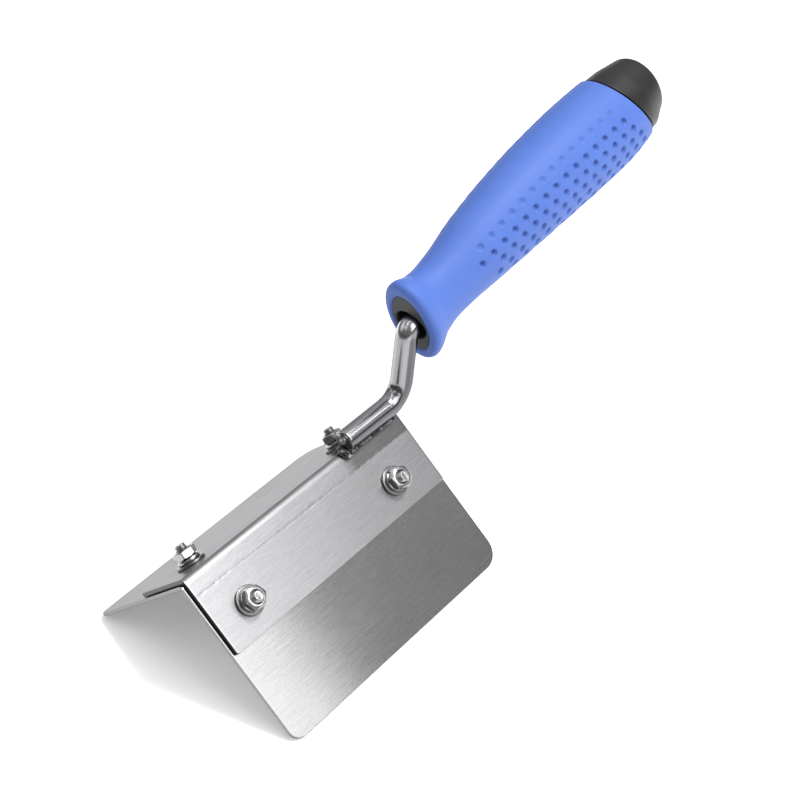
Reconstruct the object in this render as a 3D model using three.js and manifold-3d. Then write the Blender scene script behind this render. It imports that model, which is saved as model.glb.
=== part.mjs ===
// Corner trowel: a bent blade and its backing angle, bolted together on four studs, with a
// round tang welded along the ridge and a soft-grip handle on the tang's rear end.
// Millimetres, +Z up. The tool stands on the two free edges of the blade, its front end at -X.
import * as THREE from "three";
import { mergeVertices } from "three/addons/utils/BufferGeometryUtils.js";
import Module from "manifold-3d";

const wasm = await Module();
wasm.setup();

// Driving dimensions -------------------------------------------------------------------------

const CLEARANCE = 0.3; // between pieces that lie on each other

// Blade and backing angle: both are bent about the ridge, which runs along X.
const HALF_ANGLE = THREE.MathUtils.degToRad(47.4); // from the vertical down to either leg
const BLADE_LENGTH = 100;
const BLADE_LEG = 58.5; // from the sharp outer corner to the free edge
const BLADE_SHEET = 1.2;
const BLADE_BEND = 1.3; // outer bend radius
const BLADE_CORNER_FRONT = 4;
const BLADE_CORNER_REAR = 6.5;
const BACKING_FROM = 0.6; // along the ridge
const BACKING_TO = 99.2;
const BACKING_LEG = 28.0;
const BACKING_SHEET = 1.3;
const BACKING_BEND = 2.4; // outer bend radius
const BACKING_CORNER = 0.6;

// Fasteners on each leg: [distance from the front end, distance down the leg].
const STUD_PLACES = {
  near_front: [14.8, 16.2],
  near_rear: [82.8, 16.6],
  far_front: [13.2, 11.0],
  far_rear: [82.0, 11.4],
};
const STUD_RADIUS = 1.9;
const STUD_HEIGHT = 7.0; // above the backing angle
const STUD_HOLE_RADIUS = 2.25;
const WASHER_RADIUS = 5.0;
const WASHER_THICKNESS = 0.8;
const SPRING_WASHER_RADIUS = 3.8;
const SPRING_WASHER_THICKNESS = 0.9;
const WASHER_HOLE_RADIUS = 2.2;
const NUT_ACROSS_FLATS = 7;
const NUT_THICKNESS = 3;

// Tang: a round rod that lies on the ridge, bends up, and bends back into the handle.
const ROD_RADIUS = 3.8;
const ROD_HEIGHT = 5.3; // rod's centre line above the blade's sharp outer corner
const ROD_FROM = 74.6;
const BEND_FROM = 95;
const BEND_RADIUS = 9.1;
const BEND_ANGLE = THREE.MathUtils.degToRad(78); // the upright's slope
const ELBOW_RADIUS = 5;
const ROD_IN_HANDLE = 46; // from the elbow to the rod's rear end
const WELD_RADIUS = 2.7; // of the bead under the rod's front end

// Handle: its own axis starts in the middle of its front face and rises to the rear.
const HANDLE_X = 109.2;
const HANDLE_HEIGHT = 31.6; // above the blade's sharp outer corner
const HANDLE_TILT = THREE.MathUtils.degToRad(12.4);
const HANDLE_LENGTH = 130.5;
// Cross-sections of the grip: [place, half height, half width, rise of the section's centre].
const HANDLE_SECTIONS = [
  [0, 17.9, 10.5, -0.2],
  [3, 17.2, 10.5, 0],
  [8, 13.5, 9.8, 0.8],
  [14, 12.1, 9.7, 1.4],
  [21, 12.3, 10.2, 1.8],
  [34, 13.8, 11.9, 2.5],
  [50, 15.3, 13.3, 2.6],
  [70, 16.6, 14.5, 1.9],
  [92, 17.4, 15.2, 0.3],
  [108, 17.3, 15.1, -1.1],
  [119, 16.1, 14.2, -1.5],
  [130.5, 12.3, 10.9, -0.5],
];
const LIP_LEAN = -0.06; // the front face leans forward: place changes by this much per height
const LEAN_TO = 18; // where the sections stand square to the handle's axis again
const GRIP_WALL = 2.3;
const LIP_WALL_SIDE = 3.6; // the grip is thicker around the front face
const LIP_WALL_TOP = 5.2;
const LIP_LENGTH = 13;
const LIP_ROUND = 2.2;
const CORE_RECESS = 0.3; // front face of the core behind the front of the lip
const CORE_WALL = 1.9;
const CORE_SOLID_TO = 22; // the core is solid through the neck, then hollow
const CORE_TO = 108;
const SOCKET_RADIUS = 5.9;
const SOCKET_DEPTH = 5;
const SLEEVE_RADIUS = 5.8;
const SLEEVE_TO = 42;
const ROD_RISE = -0.9; // of the rod's axis above the handle's axis
const PARTING_PLACE = 116.3; // where the grip ends and the cap begins, on the handle's axis
const PARTING_SLANT = THREE.MathUtils.degToRad(22);
const CAP_STEP = 0.5; // the cap is this much smaller than the grip all round
const CAP_WALL = 2;
const CAP_EDGE = 2.4;
const SPIGOT_FROM = 99;
const INNER_PLACES = [4, 7, 10, 13, 20, 34, 50, 70, 92, SPIGOT_FROM]; // rings of hidden faces
const SIDES = 28;

// Worked out from them
const BEND_SIN = Math.sin(HALF_ANGLE);
const BEND_COS = Math.cos(HALF_ANGLE);
const RIDGE = BLADE_LEG * BEND_COS + BLADE_SHEET * BEND_SIN; // height of the sharp outer corner
const BACKING_RISE = CLEARANCE + BACKING_SHEET; // backing's outer face above the blade's outer face

// Materials ----------------------------------------------------------------------------------

const metal = (color, roughness) =>
  new THREE.MeshStandardMaterial({ color, roughness, metalness: 1 });
const plastic = (color, roughness) =>
  new THREE.MeshStandardMaterial({ color, roughness, metalness: 0 });
const BLADE_STEEL = metal(0xc4c6c8, 0.28);
const BACKING_STEEL = metal(0xb9bbbd, 0.36);
const ROD_STEEL = metal(0xaaabac, 0.3);
const WELD_STEEL = metal(0x4a4948, 0.6);
const ZINC_STEEL = metal(0xb4b6b8, 0.25);
const BLUE_RUBBER = plastic(0x5a86dc, 0.55);
const BLACK_PLASTIC = plastic(0x303134, 0.45);

// Solids: joining, cutting and turning back into geometry ------------------------------------

// A three.js geometry as a manifold solid; a geometry that is inside out is turned round.
function solid(geometry) {
  const bare = geometry.clone();
  bare.deleteAttribute("normal");
  bare.deleteAttribute("uv");
  const merged = mergeVertices(bare, 1e-4);
  const vertProperties = new Float32Array(merged.attributes.position.array);
  const triVerts = new Uint32Array(merged.index.array);
  const build = () => new wasm.Manifold(new wasm.Mesh({ numProp: 3, vertProperties, triVerts }));
  const made = build();
  if (made.volume() > 0) return made;
  for (let i = 0; i < triVerts.length; i += 3) {
    [triVerts[i + 1], triVerts[i + 2]] = [triVerts[i + 2], triVerts[i + 1]];
  }
  return build();
}

function geometryOf(manifold) {
  const mesh = manifold.getMesh();
  const geometry = new THREE.BufferGeometry();
  geometry.setAttribute("position", new THREE.BufferAttribute(mesh.vertProperties, 3));
  geometry.setIndex(new THREE.BufferAttribute(mesh.triVerts, 1));
  const faceted = geometry.toNonIndexed();
  faceted.computeVertexNormals();
  return faceted;
}

function named(name, manifold, material) {
  const mesh = new THREE.Mesh(geometryOf(manifold), material);
  mesh.name = name;
  return mesh;
}

// A geometry moved by a matrix, as a solid.
const placed = (geometry, matrix) => solid(geometry.clone().applyMatrix4(matrix));

function outline(points) {
  return new THREE.Shape(points.map(([x, y]) => new THREE.Vector2(x, y)));
}

// Sheet legs: places given as (along the ridge, down the leg, out of the outer face) ----------

// A matrix whose local Z points out of the leg's outer face, local Y up the leg to the ridge.
function onLeg(side, along, down, out) {
  const y = side === "near" ? -1 : 1;
  const up = new THREE.Vector3(0, -y * BEND_SIN, BEND_COS);
  const outward = new THREE.Vector3(0, y * BEND_COS, BEND_SIN);
  const across = new THREE.Vector3().crossVectors(up, outward);
  const place = new THREE.Vector3(along, 0, RIDGE);
  place.addScaledVector(up, -down).addScaledVector(outward, out);
  return new THREE.Matrix4().makeBasis(across, up, outward).setPosition(place);
}

// Matrix that extrudes a shape drawn in (Y, Z) along X from a given place.
function alongRidge(from) {
  const x = new THREE.Vector3(0, 1, 0);
  const y = new THREE.Vector3(0, 0, 1);
  const z = new THREE.Vector3(1, 0, 0);
  return new THREE.Matrix4().makeBasis(x, y, z).setPosition(from, 0, 0);
}

// Bent sheet: two legs and a round bend, `rise` above the blade's outer faces.
function bentSheet(from, to, leg, sheet, rise, bend) {
  const corner = RIDGE + rise / BEND_SIN; // sharp outer corner of this sheet
  const tangent = bend / Math.tan(HALF_ANGLE);
  const centre = corner - bend / BEND_SIN;
  const down = (side, distance, inset) => [
    side * (distance * BEND_SIN - inset * BEND_COS),
    corner - distance * BEND_COS - inset * BEND_SIN,
  ];
  const shape = new THREE.Shape();
  const sweep = Math.PI / 2 - HALF_ANGLE;
  shape.moveTo(...down(1, leg, 0));
  shape.lineTo(...down(1, tangent, 0));
  shape.absarc(0, centre, bend, Math.PI / 2 - sweep, Math.PI / 2 + sweep, false);
  shape.lineTo(...down(-1, leg, 0));
  shape.lineTo(...down(-1, leg, sheet));
  shape.lineTo(...down(-1, tangent, sheet));
  shape.absarc(0, centre, bend - sheet, Math.PI / 2 + sweep, Math.PI / 2 - sweep, true);
  shape.lineTo(...down(1, leg, sheet));
  const geometry = new THREE.ExtrudeGeometry(shape, {
    depth: to - from,
    bevelEnabled: false,
    curveSegments: 8,
  });
  return placed(geometry, alongRidge(from));
}

// What is cut off a square corner at the origin, whose sides run to -X and -Y, to round it.
function cornerCutter(radius, sheet) {
  const margin = 1;
  const shape = new THREE.Shape();
  shape.moveTo(-radius, margin);
  shape.lineTo(-radius, 0);
  shape.absarc(-radius, -radius, radius, Math.PI / 2, 0, true);
  shape.lineTo(margin, -radius);
  shape.lineTo(margin, margin);
  const geometry = new THREE.ExtrudeGeometry(shape, {
    depth: sheet + 2 * margin,
    bevelEnabled: false,
    curveSegments: 6,
  });
  return geometry.translate(0, 0, -sheet - margin);
}

// Rounds the four free corners of a bent sheet.
function roundCorners(body, from, to, leg, sheet, rise, radii) {
  const down = leg - rise * (BEND_COS / BEND_SIN);
  let rounded = body;
  for (const side of ["near", "far"]) {
    for (const [place, radius, front] of [
      [from, radii[0], true],
      [to, radii[1], false],
    ]) {
      const quarterTurns = (side === "near") === front ? 2 : -1;
      const cutter = cornerCutter(radius, sheet).rotateZ((quarterTurns * Math.PI) / 2);
      rounded = rounded.subtract(placed(cutter, onLeg(side, place, down, rise)));
    }
  }
  return rounded;
}

function makeBlade() {
  const sheet = bentSheet(0, BLADE_LENGTH, BLADE_LEG, BLADE_SHEET, 0, BLADE_BEND);
  const radii = [BLADE_CORNER_FRONT, BLADE_CORNER_REAR];
  const blade = roundCorners(sheet, 0, BLADE_LENGTH, BLADE_LEG, BLADE_SHEET, 0, radii);
  return named("blade", blade, BLADE_STEEL);
}

// Cylinder that stands on a leg, from one height above the blade's outer face to another.
function legCylinder(side, along, down, from, to, radius, sides) {
  const geometry = new THREE.CylinderGeometry(radius, radius, to - from, sides);
  geometry.rotateX(Math.PI / 2).translate(0, 0, (from + to) / 2);
  return placed(geometry, onLeg(side, along, down, 0));
}

function makeBackingAngle() {
  // The leg is measured from this sheet's own sharp corner.
  const leg = BACKING_LEG + BACKING_RISE * (BEND_COS / BEND_SIN);
  let body = bentSheet(BACKING_FROM, BACKING_TO, leg, BACKING_SHEET, BACKING_RISE, BACKING_BEND);
  const radii = [BACKING_CORNER, BACKING_CORNER];
  body = roundCorners(body, BACKING_FROM, BACKING_TO, leg, BACKING_SHEET, BACKING_RISE, radii);
  for (const [place, [along, down]] of Object.entries(STUD_PLACES)) {
    const side = place.split("_")[0];
    const hole = legCylinder(side, along, down, 0, BACKING_RISE + 1, STUD_HOLE_RADIUS, 16);
    body = body.subtract(hole);
  }
  return named("backing_angle", body, BACKING_STEEL);
}

// Fasteners ----------------------------------------------------------------------------------

function ring(outer, inner, thickness, sides) {
  const points = [
    [inner, 0],
    [outer, 0],
    [outer, thickness],
    [inner, thickness],
    [inner, 0],
  ];
  const profile = points.map(([x, y]) => new THREE.Vector2(x, y));
  return new THREE.LatheGeometry(profile, sides).rotateX(Math.PI / 2);
}

// Split ring with a slanted gap, slightly sprung open.
function springWasherSolid() {
  const washer = solid(
    ring(SPRING_WASHER_RADIUS, WASHER_HOLE_RADIUS, SPRING_WASHER_THICKNESS, 20),
  );
  const slot = new THREE.BoxGeometry(4, 0.7, 4).rotateX(0.5).translate(3.2, 0, 0);
  return washer.subtract(solid(slot));
}

function nutSolid() {
  const corner = NUT_ACROSS_FLATS / Math.sqrt(3);
  const chamfer = 0.35;
  const hexagon = new THREE.CylinderGeometry(corner, corner, NUT_THICKNESS, 6);
  hexagon.rotateX(Math.PI / 2).translate(0, 0, NUT_THICKNESS / 2);
  // The corners are turned down to a cone on the outer face only.
  const profile = [
    [0, 0],
    [corner, 0],
    [corner, NUT_THICKNESS - chamfer],
    [NUT_ACROSS_FLATS / 2, NUT_THICKNESS],
    [0, NUT_THICKNESS],
  ].map(([x, y]) => new THREE.Vector2(x, y));
  const turned = new THREE.LatheGeometry(profile, 24).rotateX(Math.PI / 2);
  const bore = new THREE.CylinderGeometry(WASHER_HOLE_RADIUS, WASHER_HOLE_RADIUS, 9, 16);
  return solid(hexagon).intersect(solid(turned)).subtract(solid(bore.rotateX(Math.PI / 2)));
}

function addFasteners(tool) {
  const flat = solid(ring(WASHER_RADIUS, WASHER_HOLE_RADIUS, WASHER_THICKNESS, 24));
  const layers = [
    ["flat_washer", flat, WASHER_THICKNESS],
    ["spring_washer", springWasherSolid(), SPRING_WASHER_THICKNESS],
    ["nut", nutSolid(), NUT_THICKNESS],
  ];
  for (const [place, [along, down]] of Object.entries(STUD_PLACES)) {
    const side = place.split("_")[0];
    const top = BACKING_RISE + STUD_HEIGHT;
    const stud = legCylinder(side, along, down, CLEARANCE, top, STUD_RADIUS, 16);
    tool.add(named(`stud_${place}`, stud, ZINC_STEEL));
    let height = BACKING_RISE + CLEARANCE;
    for (const [kind, layer, thickness] of layers) {
      const mesh = named(`${kind}_${place}`, layer, ZINC_STEEL);
      mesh.applyMatrix4(onLeg(side, along, down, height));
      tool.add(mesh);
      height += thickness + CLEARANCE;
    }
  }
}

// Tang ---------------------------------------------------------------------------------------

// Centre line of the rod in the X-Z plane: along the ridge, up, and along the handle's axis.
function rodPath() {
  const upright = new THREE.Vector3(Math.cos(BEND_ANGLE), 0, Math.sin(BEND_ANGLE));
  const rearward = new THREE.Vector3(Math.cos(HANDLE_TILT), 0, Math.sin(HANDLE_TILT));
  const start = new THREE.Vector3(ROD_FROM, 0, RIDGE + ROD_HEIGHT);
  const bendCentre = new THREE.Vector3(BEND_FROM, 0, RIDGE + ROD_HEIGHT + BEND_RADIUS);
  const onBend = (angle) => {
    const radial = new THREE.Vector3(Math.sin(angle), 0, -Math.cos(angle));
    return bendCentre.clone().addScaledVector(radial, BEND_RADIUS);
  };
  const bendEnd = onBend(BEND_ANGLE);
  // The corner where the upright's line meets the rod's axis in the handle.
  const axisPoint = new THREE.Vector3(0, 0, 0).applyMatrix4(handleFrame(0, ROD_RISE));
  const apart = axisPoint.clone().sub(bendEnd);
  const turned = Math.sin(BEND_ANGLE - HANDLE_TILT);
  const rise = (apart.z * rearward.x - apart.x * rearward.z) / turned;
  const corner = bendEnd.clone().addScaledVector(upright, rise);
  const setback = ELBOW_RADIUS * Math.tan((BEND_ANGLE - HANDLE_TILT) / 2);
  const elbowStart = corner.clone().addScaledVector(upright, -setback);
  const sideways = new THREE.Vector3(Math.sin(BEND_ANGLE), 0, -Math.cos(BEND_ANGLE));
  const elbowCentre = elbowStart.clone().addScaledVector(sideways, ELBOW_RADIUS);
  const onElbow = (angle) => {
    const radial = new THREE.Vector3(-Math.sin(angle), 0, Math.cos(angle));
    return elbowCentre.clone().addScaledVector(radial, ELBOW_RADIUS);
  };
  const points = [start];
  points.push(...spread(0, BEND_ANGLE, 8).map(onBend));
  points.push(...spread(BEND_ANGLE, HANDLE_TILT, 6).map(onElbow));
  points.push(onElbow(HANDLE_TILT).addScaledVector(rearward, ROD_IN_HANDLE));
  return points;
}

// A round body along straight stretches between points; each ring stands on the half angle.
function tube(points, radius, sides) {
  const profile = [new THREE.Vector2(0, 0)];
  points.forEach((_, i) => profile.push(new THREE.Vector2(radius, i)));
  profile.push(new THREE.Vector2(0, points.length - 1));
  const geometry = new THREE.LatheGeometry(profile, sides);
  const position = geometry.attributes.position;
  const last = points.length - 1;
  for (let i = 0; i < position.count; i++) {
    const at = Math.round(position.getY(i));
    const before = points[at].clone().sub(points[Math.max(at - 1, 0)]).normalize();
    const after = points[Math.min(at + 1, last)].clone().sub(points[at]).normalize();
    const along = before.add(after).normalize();
    const up = new THREE.Vector3(-along.z, 0, along.x);
    const place = points[at].clone().addScaledVector(up, position.getZ(i));
    position.setXYZ(i, place.x, position.getX(i), place.z);
  }
  return solid(geometry);
}

function makeTang() {
  const rod = tube(rodPath(), ROD_RADIUS, 24);
  return named("tang", rod.subtract(ridgeSpace()), ROD_STEEL);
}

// What is kept clear for the backing angle's rounded ridge under the rod and its welds.
function ridgeSpace() {
  const bend = BACKING_BEND + CLEARANCE;
  return bentSheet(0, BLADE_LENGTH, 20, 8, BACKING_RISE + CLEARANCE, bend);
}

// Weld bead in the wedge between the rod's lower flank and the backing angle's slope.
function sideWeld(side) {
  const y = side === "near" ? -1 : 1;
  const surface = RIDGE + (BACKING_RISE + CLEARANCE) / BEND_SIN;
  const onSlope = (across) => [y * across, surface - across * (BEND_COS / BEND_SIN)];
  const onRod = (angle) => [
    y * (ROD_RADIUS + CLEARANCE) * Math.sin(angle),
    RIDGE + ROD_HEIGHT - (ROD_RADIUS + CLEARANCE) * Math.cos(angle),
  ];
  const shape = outline([onSlope(2.3), onSlope(4), onRod(1.15), onRod(0.95), onRod(0.75)]);
  const geometry = new THREE.ExtrudeGeometry(shape, {
    depth: BEND_FROM - ROD_FROM,
    bevelEnabled: false,
  });
  return named(`weld_${side}`, placed(geometry, alongRidge(ROD_FROM + 1)), WELD_STEEL);
}

// Bead in front of the rod's end, seated over the backing angle's rounded ridge.
function frontWeld() {
  const length = 2.2;
  const bead = new THREE.CylinderGeometry(WELD_RADIUS, WELD_RADIUS, length, 20);
  bead.rotateZ(Math.PI / 2).scale(1, 1.3, 1);
  bead.translate(ROD_FROM - CLEARANCE - length / 2, 0, RIDGE + 1.5);
  return named("weld_front", solid(bead).subtract(ridgeSpace()), WELD_STEEL);
}

// Handle -------------------------------------------------------------------------------------

// Matrix from the handle's own frame (X along its axis) to the tool, moved along and up.
function handleFrame(along, rise) {
  const turn = new THREE.Matrix4().makeRotationY(-HANDLE_TILT);
  const base = new THREE.Matrix4().makeTranslation(HANDLE_X, 0, RIDGE + HANDLE_HEIGHT);
  return base.multiply(turn).multiply(new THREE.Matrix4().makeTranslation(along, 0, rise));
}

const sectionCurve = new THREE.CatmullRomCurve3(
  HANDLE_SECTIONS.map(([, height, width, rise]) => new THREE.Vector3(height, width, rise)),
  false,
  "centripetal",
);

// The grip's cross-section at a place on the handle's axis.
function sectionAt(place) {
  const last = HANDLE_SECTIONS.length - 1;
  let i = 0;
  while (i < last - 1 && place > HANDLE_SECTIONS[i + 1][0]) i++;
  const from = HANDLE_SECTIONS[i][0];
  const share = (place - from) / (HANDLE_SECTIONS[i + 1][0] - from);
  const value = sectionCurve.getPoint((i + THREE.MathUtils.clamp(share, 0, 1)) / last);
  return { halfHeight: value.x, halfWidth: value.y, rise: value.z };
}

// Thickness of the grip at its sides and at its top: thick at the lip, thin behind it. `more` is
// added to both.
function gripWall(place, more = 0) {
  const share = THREE.MathUtils.smoothstep(place, 4, LIP_LENGTH);
  const side = THREE.MathUtils.lerp(LIP_WALL_SIDE, GRIP_WALL, share);
  const top = THREE.MathUtils.lerp(LIP_WALL_TOP, GRIP_WALL, share);
  return [side + more, top + more];
}

// Closed oval body that follows the sections. `inset(place)` is how far it is inside the skin at
// its sides and at its top.
function ovalBody(places, inset) {
  const profile = [new THREE.Vector2(0, places[0])];
  for (const place of places) profile.push(new THREE.Vector2(1, place));
  profile.push(new THREE.Vector2(0, places[places.length - 1]));
  const geometry = new THREE.LatheGeometry(profile, SIDES);
  const position = geometry.attributes.position;
  for (let i = 0; i < position.count; i++) {
    const place = position.getY(i);
    const section = sectionAt(place);
    const [side, top] = inset(place);
    const across = position.getX(i) * (section.halfWidth - side);
    const up = section.rise + position.getZ(i) * (section.halfHeight - top);
    const lean = LIP_LEAN * up * (1 - THREE.MathUtils.smoothstep(place, 0, LEAN_TO));
    position.setXYZ(i, place + lean, across, up);
  }
  return solid(geometry);
}

function spread(from, to, count) {
  return Array.from({ length: count + 1 }, (_, i) => from + ((to - from) * i) / count);
}

// Everything behind (or in front of) the slanted parting plane between grip and cap.
function halfSpace(behind, offset) {
  const size = 160;
  const block = new THREE.BoxGeometry(size, size, size);
  block.translate(behind ? size / 2 : -size / 2, 0, 0).rotateY(-PARTING_SLANT);
  return solid(block.translate(PARTING_PLACE + offset, 0, 0));
}

function axisCylinder(from, to, radius, rise, sides) {
  const geometry = new THREE.CylinderGeometry(radius, radius, to - from, sides);
  geometry.rotateZ(Math.PI / 2).translate((from + to) / 2, 0, rise);
  return solid(geometry);
}

// Inset that rounds the edge at one end of an oval body, on top of an even inset.
function edgeRound(place, end, radius, more = 0) {
  const reach = Math.max(radius - Math.abs(end - place), 0);
  const inset = radius - Math.sqrt(radius * radius - reach * reach) + more;
  return [inset, inset];
}

function makeGrip() {
  const skinPlaces = [0, 0.5, 1.3, 2.3, 4, 6, 8, 10, 12, 14.5, 18, ...spread(23, 126, 15)];
  const skin = ovalBody(skinPlaces, (place) => edgeRound(place, 0, LIP_ROUND));
  const hollowPlaces = [-1, CORE_RECESS, ...INNER_PLACES, CORE_TO, 127];
  const hollow = ovalBody(hollowPlaces, (place) => gripWall(place));
  const grip = skin.subtract(hollow).intersect(halfSpace(false, 0));
  return named("soft_grip", grip, BLUE_RUBBER);
}

function makeCore() {
  const outside = (place) => gripWall(place, CLEARANCE);
  const inside = (place) => gripWall(place, CLEARANCE + CORE_WALL);
  const outer = ovalBody([CORE_RECESS, ...INNER_PLACES, CORE_TO], outside);
  const hollowPlaces = INNER_PLACES.filter((place) => place > CORE_SOLID_TO);
  const hollow = ovalBody([CORE_SOLID_TO, ...hollowPlaces, CORE_TO + 1], inside);
  const sleeve = axisCylinder(CORE_SOLID_TO - 1, SLEEVE_TO, SLEEVE_RADIUS, ROD_RISE, 20);
  const socket = axisCylinder(0, CORE_RECESS + SOCKET_DEPTH, SOCKET_RADIUS, ROD_RISE, 24);
  const bore = axisCylinder(0, SLEEVE_TO + 6, ROD_RADIUS + CLEARANCE, ROD_RISE, 20);
  const shell = outer.subtract(hollow);
  const core = shell.add(sleeve).subtract(socket).subtract(bore);
  return named("handle_core", core, BLACK_PLASTIC);
}

function makeCap() {
  const end = HANDLE_LENGTH;
  const skin = (place) => edgeRound(place, end, CAP_EDGE, CAP_STEP);
  const outerPlaces = [106, 112, 118, 124, end - 2.4, end - 1.5, end - 0.7, end - 0.2, end];
  const outer = ovalBody(outerPlaces, skin).intersect(halfSpace(true, CLEARANCE));
  const seat = GRIP_WALL + 2 * CLEARANCE + CORE_WALL;
  const spigot = ovalBody([SPIGOT_FROM, CORE_TO + 1, 118, 124], () => [seat, seat]);
  const hollowPlaces = [SPIGOT_FROM - 1, 108, 118, end - 3];
  const hollow = ovalBody(hollowPlaces, () => [seat + CAP_WALL, seat + CAP_WALL]);
  const coreSpace = ovalBody([95, 102, CORE_TO + CLEARANCE], () => [0, 0]);
  const cap = outer.subtract(coreSpace).add(spigot).subtract(hollow);
  return named("end_cap", cap, BLACK_PLASTIC);
}

// Assembly -----------------------------------------------------------------------------------

const tool = new THREE.Group();
tool.add(makeBlade(), makeBackingAngle());
addFasteners(tool);
tool.add(makeTang(), sideWeld("near"), sideWeld("far"), frontWeld());

const handle = new THREE.Group();
handle.applyMatrix4(handleFrame(0, 0));
handle.add(makeCore(), makeGrip(), makeCap());
tool.add(handle);

// The origin is under the middle of the tool, on the surface that it stands on.
const trowel = new THREE.Group();
trowel.add(tool);
trowel.updateMatrixWorld(true);
const bounds = new THREE.Box3().setFromObject(trowel, true);
tool.position.set(-(bounds.min.x + bounds.max.x) / 2, 0, -bounds.min.z);

export default trowel;
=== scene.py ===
import math

import bpy
import bmesh
import numpy as np
from mathutils import Matrix, Vector


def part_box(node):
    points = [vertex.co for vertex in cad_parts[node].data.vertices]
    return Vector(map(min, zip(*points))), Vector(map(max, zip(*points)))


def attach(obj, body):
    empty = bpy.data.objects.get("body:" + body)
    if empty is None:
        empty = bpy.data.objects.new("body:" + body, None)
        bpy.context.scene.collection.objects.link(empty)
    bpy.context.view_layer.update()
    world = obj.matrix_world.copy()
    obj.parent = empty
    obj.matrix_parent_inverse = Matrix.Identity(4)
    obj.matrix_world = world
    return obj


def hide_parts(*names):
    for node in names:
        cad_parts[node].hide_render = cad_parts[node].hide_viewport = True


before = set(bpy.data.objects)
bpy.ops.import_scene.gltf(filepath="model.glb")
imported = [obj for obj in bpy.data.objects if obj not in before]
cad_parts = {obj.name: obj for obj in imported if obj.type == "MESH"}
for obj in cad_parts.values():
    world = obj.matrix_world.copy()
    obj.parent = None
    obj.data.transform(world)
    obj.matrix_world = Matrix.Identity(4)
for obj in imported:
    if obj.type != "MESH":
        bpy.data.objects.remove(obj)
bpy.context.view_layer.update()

# Dimensions of the tool in millimetres. X runs along the ridge from the blade's front end, Z is up.
MM = 0.001
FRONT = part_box("blade")[0].x / MM
HALF_ANGLE = math.radians(47.4)
SIN = math.sin(HALF_ANGLE)
COS = math.cos(HALF_ANGLE)
BLADE_LENGTH = 100.0
BLADE_LEG = 58.5
BLADE_SHEET = 1.2
RIDGE = BLADE_LEG * COS + BLADE_SHEET * SIN
BACKING_FACE = 1.6
BACKING_SHEET = 1.45
BACKING_FROM = 1.0
BACKING_TO = 99.2
BACKING_LEG = 28.0
BLADE_BEND = 1.3
BLADE_CORNERS = (4.0, 6.5)
BACKING_BEND = 2.4
BACKING_CORNERS = (0.8, 0.8)
EDGE_ROUND = 0.16
# Fasteners: side of the ridge, distance along it, distance down the leg.
STUD_PLACES = {
    "near_front": (-1, 14.8, 16.2),
    "near_rear": (-1, 82.8, 16.6),
    "far_front": (1, 13.2, 11.0),
    "far_rear": (1, 82.0, 11.4),
}
STUD_RADIUS = 1.9
STUD_HEIGHT = 7.0
THREAD_PITCH = 0.7
WASHER_RADIUS = 4.9
WASHER_THICKNESS = 1.0
SPRING_RADIUS = 3.78
SPRING_THICKNESS = 1.1
SPRING_LIFT = 0.14
NUT_HALF_FLATS = 3.5
NUT_HALF_CORNERS = 3.94
NUT_THICKNESS = 3.2
NUT_TURNED_TO = 2.95
HOLE_RADIUS = 2.2
ROD_RADIUS = 3.8
ROD_HEIGHT = 5.3
ROD_FROM = 74.6
BEND_FROM = 95.0
BEND_RADIUS = 9.1
BEND_ANGLE = math.radians(78)
ELBOW_RADIUS = 5.0
ROD_IN_HANDLE = 46.0
HANDLE_X = 109.2
HANDLE_HEIGHT = 31.6
HANDLE_TILT = math.radians(12.4)
HANDLE_LENGTH = 130.5
# Place along the handle, half height, half width, rise of the section's centre.
HANDLE_SECTIONS = [
    (0, 17.9, 10.5, -0.2),
    (3, 17.2, 10.5, 0),
    (8, 13.5, 9.8, 0.8),
    (14, 12.1, 9.7, 1.4),
    (21, 12.3, 10.2, 1.8),
    (34, 13.8, 11.9, 2.5),
    (50, 15.3, 13.3, 2.6),
    (70, 16.6, 14.5, 1.9),
    (92, 17.4, 15.2, 0.3),
    (108, 17.3, 15.1, -1.1),
    (119, 16.1, 14.2, -1.5),
    (130.5, 12.3, 10.9, -0.5),
]
LIP_LEAN = -0.06
LEAN_TO = 18.0
LIP_WALL_SIDE = 3.6
LIP_WALL_TOP = 5.2
ROD_RISE = -0.9
SOCKET_RADIUS = 5.9
LIP_ROUND = 2.2
REAR_ROUND = 0.7
DIMPLE_RADIUS = 1.36
DIMPLE_DEPTH = 0.95
DIMPLE_PITCH = 5.47
DIMPLE_TOP_ROW = 14.6
DIMPLE_ROWS_APART = 4.15
WAVE_LENGTH = 12.6
WAVE_DEPTH = 0.38
PARTING_PLACE = 116.3
PARTING_SLANT = math.radians(22)
CAP_GAP = 0.85
CAP_BULGE = 0.75

TAU = 2 * math.pi


def smoothstep(x, lo, hi):
    t = np.clip((np.asarray(x, float) - lo) / (hi - lo), 0, 1)
    return t * t * (3 - 2 * t)


def lerp(a, b, t):
    return a + (b - a) * t


def to_row(points):
    """Millimetres in the tool's own frame to metres in the row frame."""
    return (np.asarray(points, float).reshape(-1, 3) + (FRONT, 0, 0)) * MM


def ripple(x, y, z, size):
    """Smooth, repeatable unevenness between about -1 and 1."""
    a = np.sin(x / size * 1.9 + 1.3 * np.sin(y / size * 1.1 + 0.7))
    b = np.sin(y / size * 2.3 + 1.7 * np.sin(z / size * 0.9 + 2.1))
    c = np.sin(z / size * 2.7 + 1.1 * np.sin(x / size * 1.3 + 4.2))
    return (a + b + c) / 3


# Meshes ---------------------------------------------------------------------------------------


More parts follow.
